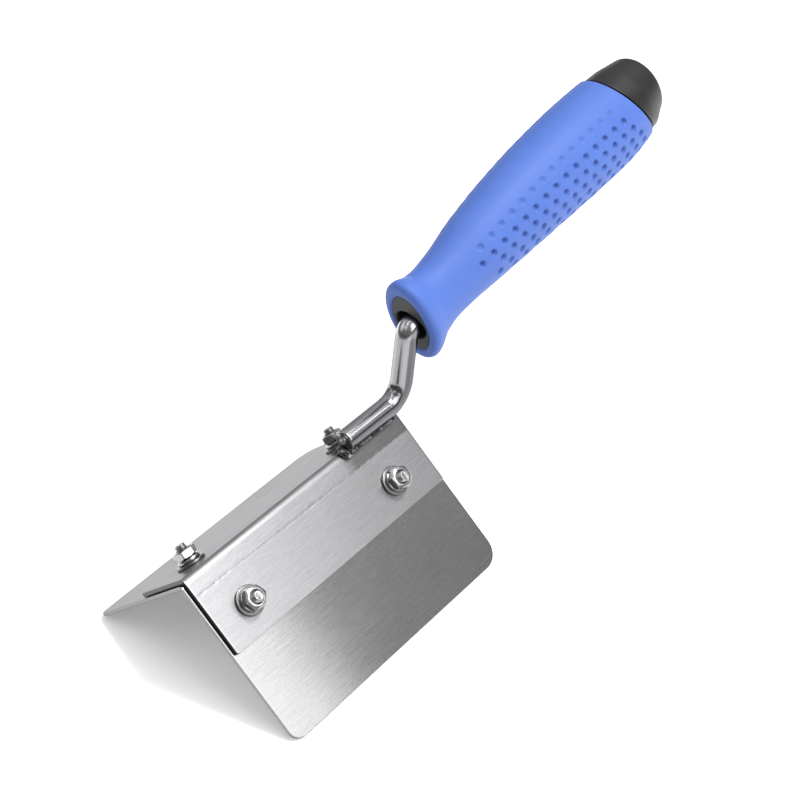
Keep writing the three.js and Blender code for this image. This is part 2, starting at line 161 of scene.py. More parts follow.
def make_piece(name, points, faces, material, node, uvs=None, face_slots=None, angle=40):
    """Mesh object from points in millimetres; it stands for one CAD node."""
    mesh = bpy.data.meshes.new(name)
    mesh.from_pydata(to_row(points).tolist(), [], faces)
    materials = material if isinstance(material, list) else [material]
    for m in materials:
        mesh.materials.append(m)
    if face_slots is not None:
        mesh.polygons.foreach_set("material_index", face_slots)
    if uvs is not None:
        layer = mesh.uv_layers.new(name="UVMap")
        loops = np.empty(len(mesh.loops), np.int32)
        mesh.loops.foreach_get("vertex_index", loops)
        layer.data.foreach_set("uv", np.asarray(uvs, float)[loops].ravel())
    work = bmesh.new()
    work.from_mesh(mesh)
    bmesh.ops.recalc_face_normals(work, faces=work.faces)
    work.to_mesh(mesh)
    work.free()
    mesh.shade_smooth()
    mesh.set_sharp_from_angle(angle=math.radians(angle))
    piece = bpy.data.objects.new(name, mesh)
    bpy.context.scene.collection.objects.link(piece)
    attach(piece, "root")
    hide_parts(node)
    return piece


def skin_rings(rings, cap_first=True, cap_last=True):
    """Points and faces of a body made of closed rings, one after another."""
    rings = np.asarray(rings, float)
    count, around = rings.shape[:2]
    points = rings.reshape(-1, 3).tolist()
    faces = []
    for i in range(count - 1):
        for j in range(around):
            k = (j + 1) % around
            a, b = i * around, (i + 1) * around
            faces.append((a + j, a + k, b + k, b + j))
    for wanted, i in ((cap_first, 0), (cap_last, count - 1)):
        if wanted:
            points.append(rings[i].mean(axis=0).tolist())
            tip = len(points) - 1
            a = i * around
            faces.extend((a + j, a + (j + 1) % around, tip) for j in range(around))
    return points, faces


def leg_point(side, along, down, out):
    """Place on a leg: along the ridge, down the leg from the sharp corner, out of the blade's face."""
    y = side * (down * SIN + out * COS)
    z = RIDGE - down * COS + out * SIN
    return np.stack(np.broadcast_arrays(along, y, z), axis=-1)


def leg_frame(side, along, down):
    """Matrix columns (across, up the leg, out of the leg) and the origin on the blade's face."""
    up = np.array((0, -side * SIN, COS))
    out = np.array((0, side * COS, SIN))
    across = np.cross(up, out)
    return np.stack((across, up, out), axis=1), leg_point(side, along, down, 0.0)


# Bent sheets ----------------------------------------------------------------------------------


def sheet(
    name, start, end, leg, thick, rise, bend, corners, relief, material, node, end_materials=()
):
    """Bent sheet with rounded rims. `relief(along, down, side)` lifts the surface a little.

    `end_materials` are for the front rim of the near leg and of the far leg.
    """
    corner = RIDGE + rise / SIN
    tangent = bend / math.tan(HALF_ANGLE)
    centre = corner - bend / SIN
    sweep = math.pi / 2 - HALF_ANGLE
    front_corner, rear_corner = corners
    down_step, along_step = 0.55, 0.62
    legs = []
    for side in (-1, 1):
        part = [("corner", side, a) for a in np.linspace(math.pi / 2, 0.12, 9)]
        part += [("flat", side, q) for q in np.linspace(1, 0, int(leg / down_step))]
        legs.append(part)
    arcs = [("arc", 0, a) for a in np.linspace(-sweep, sweep, 17)[1:-1]]
    columns = legs[0] + arcs + legs[1][::-1]
    rows = int((end - start) / along_step)
    u = np.linspace(0, 1, rows)

    def surface(inset, depth):
        grid = np.empty((rows, len(columns), 3))
        uv = np.empty((rows, len(columns), 2))
        for j, (kind, side, q) in enumerate(columns):
            low, high = start + inset, end - inset
            if kind == "arc":
                radius = bend - depth
                x = lerp(low, high, u)
                grid[:, j, 0] = x
                grid[:, j, 1] = radius * math.sin(q)
                grid[:, j, 2] = centre + radius * math.cos(q)
                lift = relief(x, np.zeros(rows), 1 if q > 0 else -1)
                grid[:, j, 1] += lift * math.sin(q)
                grid[:, j, 2] += lift * math.cos(q)
                uv[:, j, 1] = q / sweep * tangent
            else:
                if kind == "corner":
                    reach = math.sin(q)
                    down_front = leg - front_corner + (front_corner - inset) * reach
                    down_rear = leg - rear_corner + (rear_corner - inset) * reach
                    low = start + front_corner - (front_corner - inset) * math.cos(q)
                    high = end - rear_corner + (rear_corner - inset) * math.cos(q)
                else:
                    down_front = lerp(tangent, leg - front_corner, q)
                    down_rear = lerp(tangent, leg - rear_corner, q)
                x = lerp(low, high, u)
                down = lerp(down_front, down_rear, u)
                out = relief(x, down, side) - depth
                grid[:, j, 0] = x
                grid[:, j, 1] = side * (down * SIN + out * COS)
                grid[:, j, 2] = corner - down * COS + out * SIN
                uv[:, j, 1] = side * down
            uv[:, j, 0] = x
        return grid, uv

    width = len(columns)
    top, top_uv = surface(EDGE_ROUND, 0.0)
    bottom, bottom_uv = surface(EDGE_ROUND, thick)
    points = [top.reshape(-1, 3), bottom.reshape(-1, 3)]
    uvs = [top_uv.reshape(-1, 2), bottom_uv.reshape(-1, 2)]
    faces = []
    slots = []
    size = rows * width
    for i in range(rows - 1):
        for j in range(width - 1):
            a = i * width + j
            faces.append((a, a + width, a + width + 1, a + 1))
            faces.append((size + a, size + a + 1, size + a + width + 1, size + a + width))
            slots += [0, 0]
    border = [(0, j) for j in range(width)]
    border += [(i, width - 1) for i in range(1, rows)]
    border += [(rows - 1, j) for j in range(width - 2, -1, -1)]
    border += [(i, 0) for i in range(rows - 2, 0, -1)]
    previous = [i * width + j for i, j in border]
    end_slots = [0 if i else (1 if j < width // 2 else 2) for i, j in border]
    profile = []
    for a in (0.52, 1.05, 1.57):
        profile.append((EDGE_ROUND * (1 - math.sin(a)), EDGE_ROUND * (1 - math.cos(a))))
    profile += [(inset, thick - depth) for inset, depth in profile[::-1]]
    count = 2 * size
    for inset, depth in profile:
        ring, ring_uv = surface(inset, depth)
        points.append(np.array([ring[i, j] for i, j in border]))
        uvs.append(np.array([ring_uv[i, j] for i, j in border]))
        current = list(range(count, count + len(border)))
        count += len(border)
        for k in range(len(border)):
            n = (k + 1) % len(border)
            faces.append((previous[k], previous[n], current[n], current[k]))
            slots.append(min(end_slots[k], end_slots[n]) if end_materials else 0)
        previous = current
    last = [size + i * width + j for i, j in border]
    for k in range(len(border)):
        n = (k + 1) % len(border)
        faces.append((previous[k], previous[n], last[n], last[k]))
        slots.append(min(end_slots[k], end_slots[n]) if end_materials else 0)
    materials = [material, *end_materials]
    return make_piece(
        name, np.vstack(points), faces, materials, node, np.vstack(uvs), slots, angle=50
    )


def blade_relief(x, down, side):
    return 0.03 * ripple(x * 1.0, down * 1.2 + 30 * side, x * 0.3, 19.0)


def backing_relief(x, down, side):
    """Marks of the press brake: a flatter strip beside the bend that ends in a shallow crease."""
    crease = 6.7 + 1.1 * x / BLADE_LENGTH if side < 0 else 6.9 + 0.3 * x / BLADE_LENGTH
    near = np.maximum(crease - down, 0)
    strip = -0.012 * near + 0.0003 * near**2
    wear_and_painted_shade = 0.55 + 0.45 * np.sin(x * 1.7 + 2.0 * np.sin(x * 0.53))
    groove = -0.09 * wear_and_painted_shade * np.exp(-(((down - crease) / 0.22) ** 2))
    second = -0.02 * (1 - wear_and_painted_shade) * np.exp(-(((down - crease + 0.8) / 0.16) ** 2))
    wave = 0.018 * ripple(x, down * 1.3 + 20 * side, x * 0.4, 14.0)
    return strip + groove + second + wave


# Fasteners ------------------------------------------------------------------------------------


def turned(profile, around):
    """Rings of (radius, height) pairs round the local Z axis."""
    angles = np.arange(around) / around * TAU
    rings = []
    for radius, height in profile:
        r = radius if np.ndim(radius) else np.full(around, float(radius))
        h = height if np.ndim(height) else np.full(around, float(height))
        rings.append(np.stack((r * np.cos(angles), r * np.sin(angles), h), axis=1))
    return np.array(rings)


def place_on_leg(points, side, along, down, spin=0.0):
    axes, origin = leg_frame(side, along, down)
    c, s = math.cos(spin), math.sin(spin)
    turn = np.array(((c, -s, 0), (s, c, 0), (0, 0, 1)))
    return np.asarray(points) @ turn.T @ axes.T + origin


def make_stud(name, side, along, down, material):
    """Stud from the blade's face up; its thread starts inside the nut and ends in a cone with a
    rubbed-down, uneven tip.
    """
    crest, root = 1.88, 1.55
    around = 48
    angles = np.arange(around) / around * TAU
    top = BACKING_FACE + STUD_HEIGHT
    rings = [turned([(STUD_RADIUS, 0.05)], around)[0]]
    heights = np.linspace(BACKING_FACE + 2.2, top - 0.02, 70)
    for h in heights:
        phase = (h / THREAD_PITCH - angles / TAU) % 1.0
        tooth = np.clip(1.25 - 2.5 * np.abs(phase - 0.5), 0, 1)
        radius = root + (crest - root) * tooth
        radius = np.minimum(radius, 1.45 + (top - h) * 1.1)
        rings.append(turned([(radius, h)], around)[0])
    wear_and_painted_shade = top + 0.05 * np.sin(angles * 2 + 0.8)
    rings.append(turned([(1.3, wear_and_painted_shade)], around)[0])
    rings.append(turned([(0.7, wear_and_painted_shade - 0.1)], around)[0])
    points, faces = skin_rings(rings)
    points = place_on_leg(points, side, along, down)
    return make_piece(f"threaded_{name}", points, faces, material, name, angle=55)


def make_flat_washer(name, side, along, down, material):
    low, high = BACKING_FACE, BACKING_FACE + WASHER_THICKNESS
    rim = WASHER_RADIUS
    profile = [
        (HOLE_RADIUS - 0.05, low + 0.1),
        (HOLE_RADIUS + 0.1, low),
        (rim - 0.2, low),
        (rim - 0.04, low + 0.1),
        (rim, low + 0.3),
        (rim, high - 0.25),
        (rim - 0.1, high - 0.06),
        (rim - 0.35, high),
        (HOLE_RADIUS + 0.2, high),
        (HOLE_RADIUS, high - 0.1),
    ]
    rings = turned(profile + profile[:1], 96)
    points, faces = skin_rings(rings, False, False)
    points = place_on_leg(points, side, along, down)
    return make_piece(f"rounded_{name}", points, faces, material, name, angle=50)


def make_spring_washer(name, side, along, down, material, gap_at):
    """Split ring: one turn that rises a little, with a slanted gap at the angle `gap_at`."""
    low = BACKING_FACE + WASHER_THICKNESS
    thick, inner, outer = SPRING_THICKNESS, HOLE_RADIUS, SPRING_RADIUS
    half_gap = 0.11
    cut = 0.12  # off each corner of the section
    section = [(inner + cut, 0), (outer - cut, 0), (outer, cut), (outer, thick - cut)]
    section += [(outer - cut, thick), (inner + cut, thick), (inner, thick - cut), (inner, cut)]
    rings = []
    for t in np.linspace(0, 1, 84):
        lift = SPRING_LIFT * t
        ring = []
        for r, h in section:
            slant = 0.16 * (h / thick - 0.5)
            a = gap_at + half_gap + (TAU - 2 * half_gap) * t + slant
            ring.append((r * math.cos(a), r * math.sin(a), low + h + lift))
        rings.append(ring)
    points, faces = skin_rings(rings)
    points = place_on_leg(points, side, along, down)
    return make_piece(f"split_{name}", points, faces, material, name, angle=50)


def make_nut(name, side, along, down, spin, material):
    """Hexagon nut, its corners turned down at both ends, with a countersunk bore."""
    low = BACKING_FACE + WASHER_THICKNESS + SPRING_THICKNESS + SPRING_LIFT
    thick = NUT_THICKNESS
    turned_to = NUT_TURNED_TO
    around = 144
    angles = np.arange(around) / around * TAU
    flat = NUT_HALF_FLATS / np.cos((angles + math.pi / 6) % (math.pi / 3) - math.pi / 6)
    hexagon = np.minimum(flat, NUT_HALF_CORNERS)
    slope = (hexagon - turned_to) * math.tan(math.radians(30))
    soft = hexagon - 0.07
    profile = [
        (1.8, low + 0.5),
        (2.15, low + 0.02),
        (2.4, low),
        (turned_to - 0.1, low),
        (soft, low + slope * 0.9 + 0.02),
        (hexagon, low + slope + 0.09),
        (hexagon, low + thick - slope - 0.09),
        (soft, low + thick - slope * 0.9 - 0.02),
        (turned_to, low + thick - 0.02),
        (turned_to - 0.15, low + thick),
        (2.4, low + thick),
        (2.28, low + thick - 0.06),
        (2.0, low + thick - 0.7),
        (1.8, low + thick - 0.9),
    ]
    rings = turned(profile + profile[:1], around)
    points, faces = skin_rings(rings, False, False)
    points = place_on_leg(points, side, along, down, spin)
    return make_piece(f"chamfered_{name}", points, faces, material, name, angle=24)


# Tang and welds -------------------------------------------------------------------------------


def rod_path(step):
    """Centre line of the rod in the X-Z plane, as points and running directions."""
    upright = np.array((math.cos(BEND_ANGLE), 0, math.sin(BEND_ANGLE)))
    rearward = np.array((math.cos(HANDLE_TILT), 0, math.sin(HANDLE_TILT)))
    start = np.array((ROD_FROM, 0, RIDGE + ROD_HEIGHT))
    bend_centre = np.array((BEND_FROM, 0, RIDGE + ROD_HEIGHT + BEND_RADIUS))

    def on_bend(a):
        return bend_centre + BEND_RADIUS * np.array((math.sin(a), 0, -math.cos(a)))

    bend_end = on_bend(BEND_ANGLE)
    axis_point = handle_point(0, 0, ROD_RISE)
    apart = axis_point - bend_end
    turned_by = math.sin(BEND_ANGLE - HANDLE_TILT)
    rise = (apart[2] * rearward[0] - apart[0] * rearward[2]) / turned_by
    corner = bend_end + upright * rise
    setback = ELBOW_RADIUS * math.tan((BEND_ANGLE - HANDLE_TILT) / 2)
    elbow_start = corner - upright * setback
    sideways = np.array((math.sin(BEND_ANGLE), 0, -math.cos(BEND_ANGLE)))
    elbow_centre = elbow_start + sideways * ELBOW_RADIUS

    def on_elbow(a):
        return elbow_centre + ELBOW_RADIUS * np.array((-math.sin(a), 0, math.cos(a)))

    stations = []
    for x in np.arange(ROD_FROM, BEND_FROM, step):
        stations.append((start + (x - ROD_FROM, 0, 0), 0.0))
    for a in np.linspace(0, BEND_ANGLE, int(BEND_RADIUS * BEND_ANGLE / step)):
        stations.append((on_bend(a), a))
    span = np.linalg.norm(elbow_start - bend_end)
    for s in np.arange(step, span, step):
        stations.append((bend_end + upright * s, BEND_ANGLE))
    turn = BEND_ANGLE - HANDLE_TILT
    for a in np.linspace(BEND_ANGLE, HANDLE_TILT, int(ELBOW_RADIUS * turn / step * 1.6)):
        stations.append((on_elbow(a), a))
    for s in np.arange(1, ROD_IN_HANDLE + 0.1, 1.5):
        stations.append((on_elbow(HANDLE_TILT) + rearward * s, HANDLE_TILT))
    return stations


def handle_point(place, across, up):
    """Place in the handle's frame to millimetres in the tool's frame."""
    c, s = math.cos(HANDLE_TILT), math.sin(HANDLE_TILT)
    x = HANDLE_X + np.asarray(place) * c - np.asarray(up) * s
    z = RIDGE + HANDLE_HEIGHT + np.asarray(place) * s + np.asarray(up) * c
    return np.stack(np.broadcast_arrays(x, across, z), axis=-1)


def make_tang(material, end_material):
    """The bent rod. Its UV map holds millimetres along the rod and turns round it."""
    around = 96
    angles = np.arange(around) / around * TAU
    step = 0.4
    bend_to = 106  # X where the lower bend ends
    stations = rod_path(step)
    first_point, first_turn = stations[0]
    built = []
    for inset, shift in ((3.0, -0.1), (1.6, -0.05), (0.9, 0.0), (0.35, 0.06), (0.1, 0.25)):
        point = first_point + (shift, 0, 0)
        built.append(rod_ring(point, first_turn, ROD_RADIUS - inset, angles))
    end_rings = len(built) - 2
    for point, turn in stations[1:]:
        uneven = 0.012 * ripple(point[0] * 2, angles * 3, point[2] * 2, 5.0)
        # The inner side of the lower bend is pinched and rough.
        pinched = np.clip(np.cos(angles) - 0.55, 0, 1) * (1 if point[0] < bend_to else 0)
        pinched = pinched * math.sin(math.pi * min(turn / BEND_ANGLE, 1)) ** 2
        rough = ripple(point[0] * 1.6, angles * 3.8, point[2] * 1.6, 1.1)
        uneven = uneven + 0.26 * pinched * rough
        built.append(rod_ring(point, turn, ROD_RADIUS + uneven, angles))
    points, faces = skin_rings(built)
    slots = np.zeros(len(faces), int)
    slots[: end_rings * around] = 1
    slots[-2 * around : -around] = 1
    places = np.repeat(np.arange(len(built)) * step, around)
    turns = np.tile((angles / TAU + 0.5) % 1.0, len(built))
    uvs = np.stack((places, turns), axis=1)
    uvs = np.vstack((uvs, uvs[:1], uvs[-1:]))
    materials = [material, end_material]
    return make_piece("bent_rod", points, faces, materials, "tang", uvs, slots, angle=50)


def rod_ring(point, turn, radius, angles):
    up = np.array((-math.sin(turn), 0, math.cos(turn)))
    radius = np.broadcast_to(radius, angles.shape)
    across = radius * np.sin(angles)
    rise = radius * np.cos(angles)
    return point + rise[:, None] * up + across[:, None] * np.array((0.0, 1.0, 0.0))


def make_side_weld(side, material):
    """Rippled bead in the wedge between rod and backing angle."""
    around = 28
    angles = np.arange(around) / around * TAU
    middle_y, middle_z = side * 2.5, RIDGE + 2.12
    rings = []
    for x in np.arange(ROD_FROM + 0.5, BEND_FROM + 1.2, 0.16):
        ends = min(x - ROD_FROM - 0.3, BEND_FROM + 1.4 - x, 1.0)
        beat = abs(math.sin(x * 1.55 + 0.4 * math.sin(x)))
        radius = (0.5 + 0.14 * beat) * math.sqrt(max(ends, 0.04))
        radius = radius * (1 + 0.1 * ripple(x * 3, angles * 2, x, 2.0))
        ring = np.empty((around, 3))
        ring[:, 0] = x + 0.25 * np.cos(angles) * beat
        ring[:, 1] = middle_y + side * radius * np.cos(angles) * 1.2
        ring[:, 2] = middle_z + radius * np.sin(angles)
        rings.append(ring)
    points, faces = skin_rings(rings)
    name = "near" if side < 0 else "far"
    return make_piece(f"bead_{name}", points, faces, material, f"weld_{name}", angle=60)


def make_front_weld(material):
    """Lumpy bead under the rod's front end, seated on the ridge."""
    rows, around = 46, 72
    polar = np.linspace(0.03, math.pi - 0.03, rows)
    angles = np.arange(around) / around * TAU
    rings = []
    for p in polar:
        x = np.cos(p) * np.ones(around)
        y = np.sin(p) * np.cos(angles)
        z = np.sin(p) * np.sin(angles)
        lumps = 0.2 * ripple(x * 6, y * 6 + 2, z * 6, 1.7)
        lumps = lumps + 0.14 * np.abs(np.sin(y * 5.2 + x * 2.2)) * np.clip(z + 0.6, 0, 1)
        r = 0.92 + lumps
        px = ROD_FROM - 0.7 + 2.0 * x * r
        py = 3.1 * y * r
        pz = RIDGE + 1.8 - 0.32 * np.abs(py) + 1.6 * z * r
        rings.append(np.stack((px, py, pz), axis=1))
    points, faces = skin_rings(rings)
    return make_piece("bead_front", points, faces, material, "weld_front", angle=75)


# Handle ---------------------------------------------------------------------------------------


def section_table():
    """Centripetal Catmull-Rom curve through the handle's sections."""
    knots = np.array([s[1:] for s in HANDLE_SECTIONS], float)
    places = [s[0] for s in HANDLE_SECTIONS]
    out = []
    count = len(knots)
    for i in range(count - 1):
        p1, p2 = knots[i], knots[i + 1]
        p0 = knots[i - 1] if i > 0 else 2 * p1 - p2
        p3 = knots[i + 2] if i + 2 < count else 2 * p2 - p1
        t1 = max(np.dot(p1 - p0, p1 - p0) ** 0.25, 1e-4)
        t2 = max(np.dot(p2 - p1, p2 - p1) ** 0.25, 1e-4)
        t3 = max(np.dot(p3 - p2, p3 - p2) ** 0.25, 1e-4)
        m1 = ((p1 - p0) / t1 - (p2 - p0) / (t1 + t2) + (p2 - p1) / t2) * t2
        m2 = ((p2 - p1) / t2 - (p3 - p1) / (t2 + t3) + (p3 - p2) / t3) * t2
        for s in np.linspace(0, 1, 24, endpoint=False):
            h = (2 * s**3 - 3 * s**2 + 1) * p1 + (s**3 - 2 * s**2 + s) * m1
            h = h + (-2 * s**3 + 3 * s**2) * p2 + (s**3 - s**2) * m2
            out.append((lerp(places[i], places[i + 1], s), *h))
    out.append((places[-1], *knots[-1]))
    return np.array(out)


TABLE = section_table()


def section_at(place):
    return [np.interp(place, TABLE[:, 0], TABLE[:, k]) for k in (1, 2, 3)]


def oval_ring(place, angles, inset_side, inset_top):
    """Closed oval inside the handle's outline; `place` may differ round the ring."""
    place = np.broadcast_to(place, angles.shape).astype(float)
    half_height, half_width, rise = section_at(place)
    across = np.cos(angles) * (half_width - inset_side)
    up = rise + np.sin(angles) * (half_height - inset_top)
    lean = LIP_LEAN * up * (1 - smoothstep(place, 0, LEAN_TO))
    return np.stack((place + lean, across, up), axis=1)


def parting_places(angles, offset=0.0):
    """Where the slanted parting between grip and cap cuts the skin, settled in a few rounds."""
    place = np.full(angles.shape, PARTING_PLACE)
    for _ in range(12):
        half_height, _, rise = section_at(place)
        up = rise + np.sin(angles) * half_height
        place = PARTING_PLACE + offset - up * math.tan(PARTING_SLANT)
    return place


def dimple_centres():
    """Dimples of one side: place along the handle, height, depth. The lowest may miss the skin."""
    centres = []
    starts = [29.9, 27.3, 35.4, 33.2, 40.9, 38.7, 46.4, 44.2]
    counts = [14, 15, 14, 15, 14, 15, 13, 13]
    for r, (start, count) in enumerate(zip(starts, counts)):
        for k in range(count):
            place = start + DIMPLE_PITCH * k
            up = DIMPLE_TOP_ROW - DIMPLE_ROWS_APART * r - 0.0017 * (place - 70) ** 2
            depth = 0.46 - 0.015 * k if r == 0 else DIMPLE_DEPTH
            centres.append((place, up, depth))
    return centres


def front_rim(angles):
    """Rings of the grip's lip, from the hole for the core round to the outer side."""
    inner_side, inner_top = LIP_WALL_SIDE, LIP_WALL_TOP
    rings = []
    rings.append(oval_ring(14.0, angles, 2.6, 2.6))
    rings.append(oval_ring(7.0, angles, inner_side, inner_top - 1.2))
    rings.append(oval_ring(1.2, angles, inner_side, inner_top))
    rings.append(oval_ring(0.5, angles, inner_side - 0.02, inner_top - 0.02))
    soft = 0.45
    for a in np.linspace(0.25, math.pi / 2, 5):
        back = soft * (1 - math.sin(a))
        less = soft * (1 - math.cos(a))
        rings.append(oval_ring(back, angles, inner_side - less, inner_top - less))
    for share in (0.25, 0.5, 0.75):
        side_inset = lerp(inner_side - soft, LIP_ROUND, share)
        top_inset = lerp(inner_top - soft, LIP_ROUND, share)
        rings.append(oval_ring(-0.12 * math.sin(share * math.pi), angles, side_inset, top_inset))
    for a in np.linspace(0, math.pi / 2, 14):
        inset = LIP_ROUND * (1 - math.sin(a))
        rings.append(oval_ring(LIP_ROUND * (1 - math.cos(a)), angles, inset, inset))
    return rings


def pressed_skin(body_rings, angles):
    """The grip's skin with its dimples and finger waves, and the painted shade of each point: each
    dimple is painted darker, most on its rear and upper wall.
    """
    place_of = body_rings[:, :, 0]
    push = np.zeros(body_rings.shape[:2])
    painted_shade = np.zeros(body_rings.shape[:2])
    for place, up, depth in dimple_centres():
        half_height, half_width, rise = [float(v) for v in section_at(place)]
        s = (up - rise) / half_height
        if abs(s) > 0.97:
            continue
        for side in (-1, 1):
            middle = np.array((place, side * half_width * math.sqrt(1 - s * s), up))
            near = np.where(np.any(np.abs(place_of - place) < 2.0, axis=1))[0]
            apart = np.linalg.norm(body_rings[near] - middle, axis=2)
            bowl = np.clip(1 - (apart / DIMPLE_RADIUS) ** 2, 0, 1) ** 0.6
            rim = np.exp(-(((apart - DIMPLE_RADIUS - 0.19) / 0.3) ** 2))
            push[near] += -depth * bowl + 0.05 * rim
            # Painted shade: each dimple gets a darker value, strongest on its rear and upper wall.
            rearward = place_of[near] - place + 0.4 * (body_rings[near][:, :, 2] - up)
            rearward = rearward / DIMPLE_RADIUS
            painted_shade[near] += depth * bowl * np.clip(0.45 + 0.75 * rearward, 0, 1)
    under = smoothstep(-np.sin(angles), 0.55, 1.0)[None, :]
    reach = smoothstep(place_of, 38, 48) * (1 - smoothstep(place_of, 98, 108))
    push += WAVE_DEPTH * np.cos((place_of - 47) / WAVE_LENGTH * TAU) * under * reach
    half_height, half_width, _ = section_at(place_of)
    outward = np.stack(
        (
            np.zeros_like(place_of),
            np.cos(angles)[None, :] / half_width,
            np.sin(angles)[None, :] / half_height,
        ),
        axis=2,
    )
    outward /= np.linalg.norm(outward, axis=2)[:, :, None]
    return body_rings + outward * push[:, :, None], painted_shade


def make_grip(material):
    """Soft shell. Its UV map holds the painted shade of the dimples."""
    around = 300
    angles = np.arange(around) / around * TAU + 0.01
    parting = parting_places(angles)
    middle_place = 60.0
    step = 0.4
    rings = front_rim(angles)
    skin = [oval_ring(p, angles, 0, 0) for p in np.arange(LIP_ROUND + step, middle_place, step)]
    for q in np.linspace(0, 1, int((PARTING_PLACE - middle_place) / step)):
        skin.append(oval_ring(lerp(middle_place, parting - REAR_ROUND, q), angles, 0, 0))
    body_rings, painted_shade = pressed_skin(np.array(skin), angles)
    first_body = len(rings)
    rings.extend(list(body_rings))
    # The rear edge, rounded inward against the cap.
    for a in np.linspace(0, math.pi / 2, 7)[1:]:
        inset = REAR_ROUND * (1 - math.cos(a))
        place = parting - REAR_ROUND + REAR_ROUND * math.sin(a)
        rings.append(oval_ring(place, angles, inset, inset))
    rings.append(oval_ring(parting, angles, 1.6, 1.6))
    rings.append(oval_ring(parting - 6, angles, 2.2, 2.2))
    rings = np.array(rings)
    rings = handle_point(rings[:, :, 0], rings[:, :, 1], rings[:, :, 2])
    shade = np.zeros(rings.shape[:2])
    shade[first_body : first_body + len(painted_shade)] = painted_shade
    uvs = np.stack((np.vstack((shade, shade[:1])).ravel(),) * 2, axis=1)
    points, faces = skin_rings(list(rings) + [rings[0]], False, False)
    return make_piece("moulded_grip", points, faces, material, "soft_grip", uvs, angle=60)


def make_core(material):
    """The hard core: front face inside the lip, socket round the rod, body hidden in the grip."""
    around = 160
    angles = np.arange(around) / around * TAU
    socket_floor = 5.2

    def circle(place, radius):
        up = ROD_RISE + radius * np.sin(angles)
        return np.stack((place + LIP_LEAN * up, radius * np.cos(angles), up), axis=1)

    rings = [circle(socket_floor, r) for r in (ROD_RADIUS - 0.1, 4.4, 5.0, 5.6)]
    for place in np.linspace(socket_floor - 0.1, 0.75, 9):
        rings.append(circle(place, SOCKET_RADIUS))
    for a in np.linspace(0.2, math.pi / 2, 4):
        back = 0.15 + 0.5 * (1 - math.sin(a))
        rings.append(circle(back, SOCKET_RADIUS + 0.5 * (1 - math.cos(a))))
    inner = rings[-1]
    outer = oval_ring(0.12, angles, LIP_WALL_SIDE + 0.1, LIP_WALL_TOP + 0.1)
    for share in np.linspace(0, 1, 9)[1:]:
        rings.append(inner + (outer - inner) * share)
    for place, side, top in (
        (0.3, 3.62, 5.22),
        (1.2, 3.65, 5.25),
        (7, 3.65, 4.1),
        (14, 2.7, 2.7),
        (34, 2.5, 2.5),
        (60, 2.5, 2.5),
        (90, 2.5, 2.5),
        (106, 2.5, 2.5),
        (108, 3.4, 3.4),
    ):
        rings.append(oval_ring(place, angles, side, top))
    rings = np.array(rings)
    rings = handle_point(rings[:, :, 0], rings[:, :, 1], rings[:, :, 2])
    points, faces = skin_rings(rings)
    return make_piece("moulded_core", points, faces, material, "handle_core", angle=45)


def make_cap(material):
    """Plug behind the grip: a small step at the parting, full below, and a domed end."""
    around = 240
    angles = np.arange(around) / around * TAU
    parting = parting_places(angles, CAP_GAP)
    end = HANDLE_LENGTH
    step = 0.6
    soft = 0.25
    rings = [oval_ring(parting - 6, angles, 3.0, 3.0), oval_ring(parting, angles, 2.8, 2.8)]
    rings.append(oval_ring(parting, angles, 2.0, 2.0))
    for a in np.linspace(0, math.pi / 2, 4):
        inset = step + soft * (1 - math.sin(a))
        rings.append(oval_ring(parting + soft * (1 - math.cos(a)), angles, inset, inset))
    edge = 2.4
    low = smoothstep(-np.sin(angles), -0.2, 0.7)
    for q in np.linspace(0, 1, 34)[1:]:
        place = lerp(parting + soft, end - edge, q)
        fullness = math.sin(math.pi * min(q * 1.05, 1)) ** 1.5
        ease = step * (1 - 0.6 * q) - CAP_BULGE * low * fullness
        rings.append(oval_ring(place, angles, ease, ease))
    for a in np.linspace(0, math.pi / 2, 12)[1:]:
        inset = 0.4 * step + edge * (1 - math.cos(a))
        rings.append(oval_ring(end - edge + edge * math.sin(a), angles, inset, inset))
    base = rings[-1]
    middle = base.mean(axis=0)
    for share in np.linspace(0, 0.96, 14)[1:]:
        ring = base + (middle - base) * share
        ring[:, 0] += 0.7 * (1 - (1 - share) ** 2)
        rings.append(ring)
    rings = np.array(rings)
    rings = handle_point(rings[:, :, 0], rings[:, :, 1], rings[:, :, 2])
    points, faces = skin_rings(rings)
    return make_piece("domed_cap", points, faces, material, "end_cap", angle=60)


# Materials ------------------------------------------------------------------------------------


